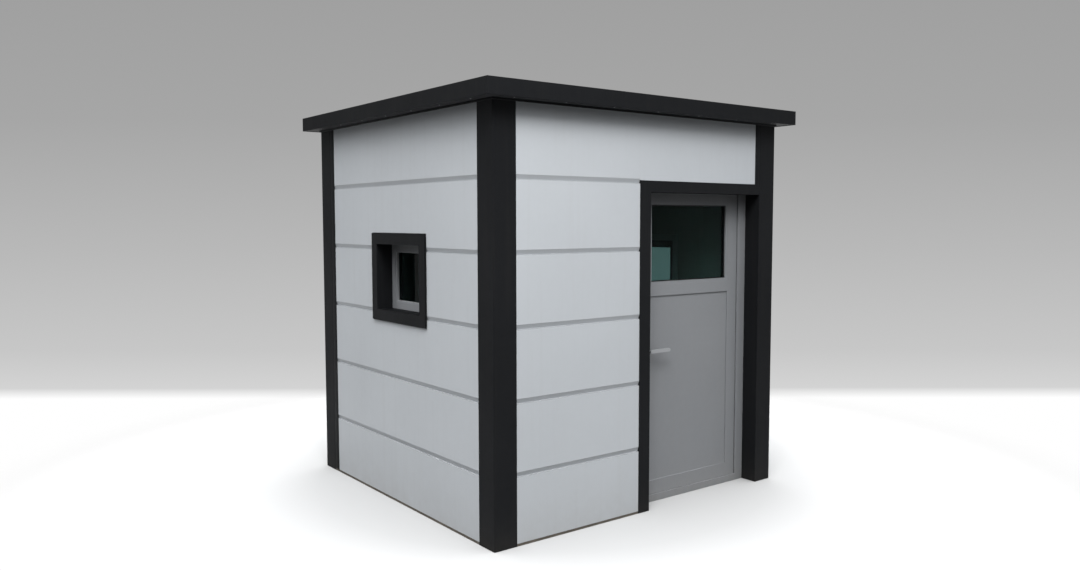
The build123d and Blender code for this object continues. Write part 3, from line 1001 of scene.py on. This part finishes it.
@dataclass
class InsideTrims:
    """Skirting, ceiling cove, corner beads, board joints and floor strip of the cabin."""

    skirting_height: float = 0.06
    skirting_depth: float = 0.01
    cove: float = 0.022
    bead: float = 0.014
    strip_half: float = 0.02
    strip_rise: float = 0.003
    back_joints: Pair = (-0.333, 0.333)
    side_joints: Pair = (-0.6, 0.6)
    front_joint: float = -0.5

    def build(self, bench: Bench) -> None:
        """Build the cabin's trims.

        Args:
            bench: Where pieces are made.
        """
        floor, ceiling = box("floor_covering")[1].z, box("ceiling")[0].z
        foot, head = floor + self.skirting_height, ceiling - self.cove
        left, right = box("left_lining")[1].x, box("right_lining")[0].x
        front, back = box("front_lining")[1].y, box("back_lining")[0].y
        door_edge, depth = box("front_lining")[1].x, self.skirting_depth
        runs = (("left", (left, front), (left + depth, back)),
                ("right", (right - depth, front), (right, back)),
                ("back", (left + depth, back - depth), (right - depth, back)),
                ("front", (left + depth, front), (door_edge, front + depth)))
        for name, low, high in runs:
            board = bench.block(f"skirting_{name}", (*low, floor), (*high, foot))
            bench.round_edges(board, lambda at, way: near(at.z, foot), 0.004, 3)
            bench.finish(board, "booth", SKIRTING)
        size = self.cove
        cove = bench.ring("ceiling_cove", Axis.Z, ceiling, (left, front), (right, back), size, -size)
        rim = inner_rim(head, (right - left) / 2 - size, (back - front) / 2 - size)
        bench.round_edges(cove, rim, 0.012, 5)
        bench.finish(cove, "booth", CEILING, "ceiling_white")
        beads = []
        for x, y, step_x, step_y in ((left, back, 1, -1), (right, back, -1, -1), (left, front, 1, 1)):
            tip = (x + step_x * self.bead, y + step_y * self.bead)
            beads.append(bench.block("bead", (x, y, foot), (*tip, head)))
            bench.round_edges(beads[-1], lambda at, way: near(at.x, tip[0]) and near(at.y, tip[1]), 0.01, 5)
        bench.finish(bench.join("corner_beads", beads), "booth", LAMINATE, "lining_laminate")
        half, rise = self.strip_half, self.strip_rise
        places = [((x - half, back - rise), (x + half, back)) for x in self.back_joints]
        for wall, way in ((left, 1.0), (right, -1.0)):
            places += [((wall, y - half), (wall + way * rise, y + half)) for y in self.side_joints]
        places.append(((self.front_joint - half, front), (self.front_joint + half, front + rise)))
        strips = [bench.block("strip", (*low, foot), (*high, head)) for low, high in places]
        for strip in strips:
            bench.soften(strip, 0.0014)
        bench.finish(bench.join("lining_joint_strips", strips), "booth", LAMINATE, "lining_laminate")
        plate = bench.block("doorway_floor_strip", (door_edge + 0.002, front - 0.004, floor),
                            (box("door_jamb_hinge")[1].x - 0.04, front + 0.026, floor + 0.002))
        bench.soften(plate, 0.001)
        bench.finish(plate, "booth", STEEL, "satin_steel")


@dataclass
class RoofDressing:
    """Welded laps, edge fillet, soffit trim and soffit screws."""

    lap: float = 0.045
    lap_rise: float = 0.0012
    lap_rows: Triple = (-0.57, 0.0, 0.57)
    fillet: float = 0.014
    trim_width: float = 0.01
    trim_height: float = 0.012
    screw_radius: float = 0.004
    screw_height: float = 0.0016
    screw_offset: float = 0.055
    screw_pitch: Pair = (0.36, 0.33)

    def build(self, bench: Bench) -> None:
        """Build the roof's small pieces.

        Args:
            bench: Where pieces are made.
        """
        top = box("roof_membrane")[1].z
        left, right = box("fascia_left")[1].x, box("fascia_right")[0].x
        front, back = box("fascia_front")[1].y, box("fascia_back")[0].y
        laps = []
        for y in self.lap_rows:
            laps.append(bench.block("lap", (left, y - self.lap / 2, top),
                                    (right, y + self.lap / 2, top + self.lap_rise)))
            bench.soften(laps[-1], 0.0008)
        bench.finish(bench.join("roof_membrane_laps", laps), "booth", MEMBRANE, "roof_membrane")
        size = self.fillet
        fillet = bench.ring("roof_edge_fillet", Axis.Z, top, (left, front), (right, back), size, size)
        rim = inner_rim(top + size, (right - left) / 2 - size, (back - front) / 2 - size)
        bench.round_edges(fillet, rim, 0.012, 1)
        bench.finish(fillet, "booth", MEMBRANE, "roof_membrane")
        self.soffit(bench)

    def soffit(self, bench: Bench) -> None:
        """Angle trim where the walls meet the soffit, and the soffit's screws.

        Args:
            bench: Where pieces are made.
        """
        under, width = box("soffit")[0].z, self.trim_width
        wall_x, wall_y = box("right_wall")[1].x, box("back_wall")[1].y
        trim = bench.ring("soffit_wall_trim", Axis.Z, under, (-wall_x - width, -wall_y - width),
                          (wall_x + width, wall_y + width), width, -self.trim_height)
        bench.soften(trim, 0.002)
        bench.finish(trim, "booth", ANTHRACITE, "trim_anthracite")
        spots = []
        for step in range(-3, 4):
            for side in (-1.0, 1.0):
                spots.append((step * self.screw_pitch[0], side * (wall_y + self.screw_offset)))
                spots.append((side * (wall_x + self.screw_offset), step * self.screw_pitch[1]))
        head = bench.rod("soffit_screw", (*spots[0], under - self.screw_height / 2), self.screw_radius,
                         self.screw_height, Axis.Z, 12)
        bench.raise_faces(head, lambda at, normal: normal.z < -0.9, 0.0018, (0.0, 0.0, 0.0007))
        shifts = [(x - spots[0][0], y - spots[0][1], 0.0) for x, y in spots[1:]]
        bench.finish(bench.repeat("soffit_screws", head, shifts), "booth", STEEL, "satin_steel")


@dataclass
class EndCoversAndShade:
    """Flat dark covers over the panel ends, beside the posts: partly real covers, partly painted shade for the
    dark that falls beside the posts.
    """

    side_width: float = 0.062
    door_width: float = 0.048
    thickness: float = 0.0015

    def build(self, bench: Bench) -> None:
        """Build one cover over the door and one at the back end of each side wall.

        Args:
            bench: Where pieces are made.
        """
        track, under = box("base_track")[1].z, box("soffit")[0].z
        wall_x, wall_y = box("right_wall")[1].x, box("back_wall")[1].y
        post = box("corner_post_back_right")[0]
        head = box("door_head_trim")[1].z
        # The covers' width also paints the shade that falls beside the posts.
        covers = [bench.block("cover", (post.x - self.door_width, -wall_y - self.thickness, head),
                              (post.x, -wall_y, under))]
        for way in (-1, 1):
            covers.append(bench.block("cover", (way * wall_x, post.y - self.side_width, track),
                                      (way * (wall_x + self.thickness), post.y, under)))
        for cover in covers:
            bench.soften(cover, 0.0006)
        bench.finish(bench.join("panel_end_covers", covers), "booth", ANTHRACITE, "trim_anthracite")


@dataclass
class CourseJointSealsAndShade:
    """Slim grey strips on the lower lip of each groove in the walls: partly a joint seal, partly painted shade on
    the lip that light falls on.
    """

    course: float = 0.417
    courses: int = 5
    lip: float = 0.021
    inset: float = 0.0002
    reach: float = 0.0088
    height: float = 0.0018
    slope: float = 0.001

    def build(self, bench: Bench) -> None:
        """Build the strips of the four walls.

        Args:
            bench: Where pieces are made.
        """
        post_low = box("corner_post_back_right")[0]
        wall_x, wall_y = box("right_wall")[1].x, box("back_wall")[1].y
        door_left = box("door_post")[0].x
        end = post_low.y - EndCoversAndShade.side_width
        strips = []
        for step in range(1, self.courses + 1):
            line = step * self.course
            strips.append(self.strip(bench, Axis.Y, -wall_y, -post_low.x, door_left, line))
            strips.append(self.strip(bench, Axis.Y, wall_y, -post_low.x, post_low.x, line))
            for side in Side:
                low, high = box(f"window_trim_{side.name.lower()}")
                split = low.z < line < high.z
                runs = ((-post_low.y, low.y), (high.y, end)) if split else ((-post_low.y, end),)
                strips += [self.strip(bench, Axis.X, side.value * wall_x, *run, line) for run in runs]
        # The strips' grey is painted shade over each groove's lit lip, as well as a joint seal.
        bench.finish(bench.join("course_joint_strips", strips), "booth", JOINT_SEAL_AND_SHADE)

    def strip(self, bench: Bench, axis: Axis, face: float, start: float, end: float, line: float) -> Piece:
        """Make one strip that follows the sloping lip of a groove.

        Args:
            bench: Where pieces are made.
            axis: The axis that the wall looks along.
            face: Where the wall's face lies on that axis.
            start: One end of the strip.
            end: Its other end.
            line: Height of the course line.

        Returns:
            The strip.
        """
        back = face - math.copysign(self.reach, face)
        across, along = (face - math.copysign(self.inset, face), back), (start, end)
        first, second = (across, along) if axis is Axis.X else (along, across)
        foot = line - self.lip
        strip = bench.block("strip", (first[0], second[0], foot), (first[1], second[1], foot + self.height))
        bench.pick(strip, Part.VERT, lambda at, way: near(at.z, foot) and near(at[axis.value], back))
        bpy.ops.transform.translate(value=(0.0, 0.0, self.slope))
        bench.leave()
        bench.soften(strip, 0.0003, 1)
        return strip


@dataclass
class Studio:
    """Camera, floor, backdrop and lamp."""

    yaw: float = 37.211
    pitch: float = -4.112
    roll: float = -0.082
    camera_place: Triple = (-3.8872, -5.0973, 1.835)
    lens: float = 29.556
    sensor: float = 36.0
    sky_colour: Colour = (0.98, 0.99, 1.0, 1.0)
    sky_strength: float = 3.2
    sky_heights: Pair = (0.1, 0.93)
    sky_top: float = 1.19
    sky_power: float = 1.5
    indoor_gain: float = 4.6
    horizon_slope: float = -0.1954
    horizon_half: float = 0.006
    wall_slopes: Pair = (-0.2, 0.25)
    wall_greys: tuple[tuple[float, int], ...] = (
        (0.0, 214), (0.12, 199), (0.38, 184), (0.70, 166), (1.0, 160))
    floor_radius: float = 14.0
    floor_drop: float = 0.001
    floor_tones: Pair = (0.42, 0.68)
    floor_tones_over: Pair = (1.6, 3.8)
    floor_fades_over: Pair = (1.7, 4.3)
    floor_bounce: float = 0.05
    lamp_place: Triple = (-2.45, -3.25, 5.15)
    lamp_target: Triple = (-1.1, -1.1, 1.4)
    lamp_size: float = 1.6
    lamp_power: float = 150.0

    def build(self) -> None:
        """Set up everything that isn't the booth."""
        bpy.context.scene.view_settings.view_transform = "Standard"
        self.add_camera()
        self.add_world()
        self.add_floor()
        self.add_lamp()

    def add_camera(self) -> None:
        """Place the camera at the viewing angle."""
        yaw, pitch, roll = (math.radians(v) for v in (self.yaw, self.pitch, self.roll))
        forward = Vector((math.sin(yaw) * math.cos(pitch), math.cos(yaw) * math.cos(pitch), math.sin(pitch)))
        level = Vector((math.cos(yaw), -math.sin(yaw), 0.0))
        right = level * math.cos(roll) + level.cross(forward) * math.sin(roll)
        up = right.cross(forward)
        bpy.ops.object.camera_add()
        camera = bpy.context.object
        camera.data.lens = self.lens
        camera.data.sensor_width = self.sensor
        turn = camera.matrix_world.to_3x3()
        for row in range(3):
            turn[row] = (right[row], up[row], -forward[row])
        camera.matrix_world = turn.to_4x4()
        camera.location = self.camera_place
        bpy.context.scene.camera = camera

    def add_world(self) -> None:
        """Light the booth evenly, and show a plain studio wall over a white floor behind it."""
        world = bpy.data.worlds.new("studio")
        bpy.context.scene.world = world
        world.use_nodes = True
        board = Board(world.node_tree)
        place = board.add("ShaderNodeTexCoord").outputs["Generated"]
        rotation = (0.0, 0.0, math.radians(self.yaw))
        turned = board.add("ShaderNodeMapping", {"Vector": place, "Rotation": rotation},
                           vector_type="POINT").outputs[0]
        axes = board.add("ShaderNodeSeparateXYZ", {0: turned})
        reach = board.math("MAXIMUM", board.math("ABSOLUTE", axes.outputs["X"]),
                           board.math("ABSOLUTE", axes.outputs["Y"]))
        slope = board.math("DIVIDE", axes.outputs["Z"], reach)
        wall = board.add("ShaderNodeValToRGB", {0: board.remap(slope, *self.wall_slopes, 0.0, 1.0)})
        stops = wall.color_ramp.elements
        for index, (position, grey) in enumerate(self.wall_greys):
            stop = stops[index] if index < 2 else stops.new(position)
            stop.position = position
            stop.color = shade(grey, grey, grey)
        ground = board.remap(slope, self.horizon_slope - self.horizon_half,
                             self.horizon_slope + self.horizon_half, 1.0, 0.0)
        seen_colour = board.mix(ground, wall.outputs[0], (1.0, 1.0, 1.0, 1.0))
        seen = board.add("ShaderNodeBackground", {"Color": seen_colour, "Strength": 1.0})
        height = board.remap(axes.outputs["Z"], *self.sky_heights, 0.0, self.sky_top)
        sky = board.math("MULTIPLY", board.math("POWER", height, self.sky_power), self.sky_strength)
        panes = board.add("ShaderNodeLightPath").outputs["Transmission Depth"]
        dome = board.math("MULTIPLY", sky, board.remap(panes, 0.0, 1.0, 1.0, self.indoor_gain))
        light = board.add("ShaderNodeBackground", {"Color": self.sky_colour, "Strength": dome})
        both = board.add("ShaderNodeMixShader", {0: self.seen_rays(board), 1: light.outputs[0],
                                                 2: seen.outputs[0]})
        board.add("ShaderNodeOutputWorld", {"Surface": both.outputs[0]})

    @staticmethod
    def seen_rays(board: Board) -> Socket:
        """Return 1 for rays from the camera, through glass or mirrored, and 0 for scattered ones."""
        return board.math("LESS_THAN", board.add("ShaderNodeLightPath").outputs["Diffuse Depth"], 0.5)

    def add_floor(self) -> None:
        """Lay a white floor that fades into the backdrop far out."""
        bpy.ops.mesh.primitive_circle_add(vertices=128, radius=self.floor_radius, fill_type="NGON",
                                          location=(0, 0, -self.floor_drop))
        floor = bpy.context.object
        floor.name = "studio_floor"
        material, board = new_material("studio_floor_white")
        place = board.place()
        far = board.add("ShaderNodeVectorMath", {0: place}, operation="LENGTH").outputs["Value"]
        seen = self.seen_rays(board)
        tone = board.remap(far, *self.floor_tones_over, *self.floor_tones)
        bright = board.add("ShaderNodeBsdfDiffuse", {"Color": tone})
        dull = board.add("ShaderNodeBsdfDiffuse", {"Color": (*[self.floor_bounce] * 3, 1.0)})
        clear = board.add("ShaderNodeBsdfTransparent")
        fade = board.remap(far, *self.floor_fades_over, 0.0, 1.0, "SMOOTHERSTEP")
        edge = board.math("MULTIPLY", seen, fade)
        body = board.add("ShaderNodeMixShader", {0: seen, 1: dull.outputs[0], 2: bright.outputs[0]})
        both = board.add("ShaderNodeMixShader", {0: edge, 1: body.outputs[0], 2: clear.outputs[0]})
        board.add("ShaderNodeOutputMaterial", {"Surface": both.outputs[0]})
        floor.data.materials.append(material)

    def add_lamp(self) -> None:
        """Hang one soft square lamp over the near corner."""
        bpy.ops.object.light_add(type="AREA", location=self.lamp_place)
        lamp = bpy.context.object
        lamp.name = "corner_key"
        lamp.data.size = self.lamp_size
        lamp.data.energy = self.lamp_power
        aim = Vector(self.lamp_target) - Vector(self.lamp_place)
        lamp.rotation_euler = aim.to_track_quat("-Z", "Y").to_euler()
        lamp.visible_glossy = False
        lamp.visible_camera = False


def main() -> None:
    """Build the looks in order."""
    logging.basicConfig(level=logging.INFO, format="%(name)s %(message)s")
    shop = Paintshop()
    shop.dress_frame()
    bench = Bench(shop)
    windows = [WindowDressing(side) for side in Side]
    for dressing in (*windows, DoorDressing(), InsideTrims(), RoofDressing(), EndCoversAndShade(), CourseJointSealsAndShade()):
        dressing.build(bench)
        LOG.info("%s: %d pieces so far", type(dressing).__name__, bench.count)
    Studio().build()


if __name__ == "__main__":
    main()
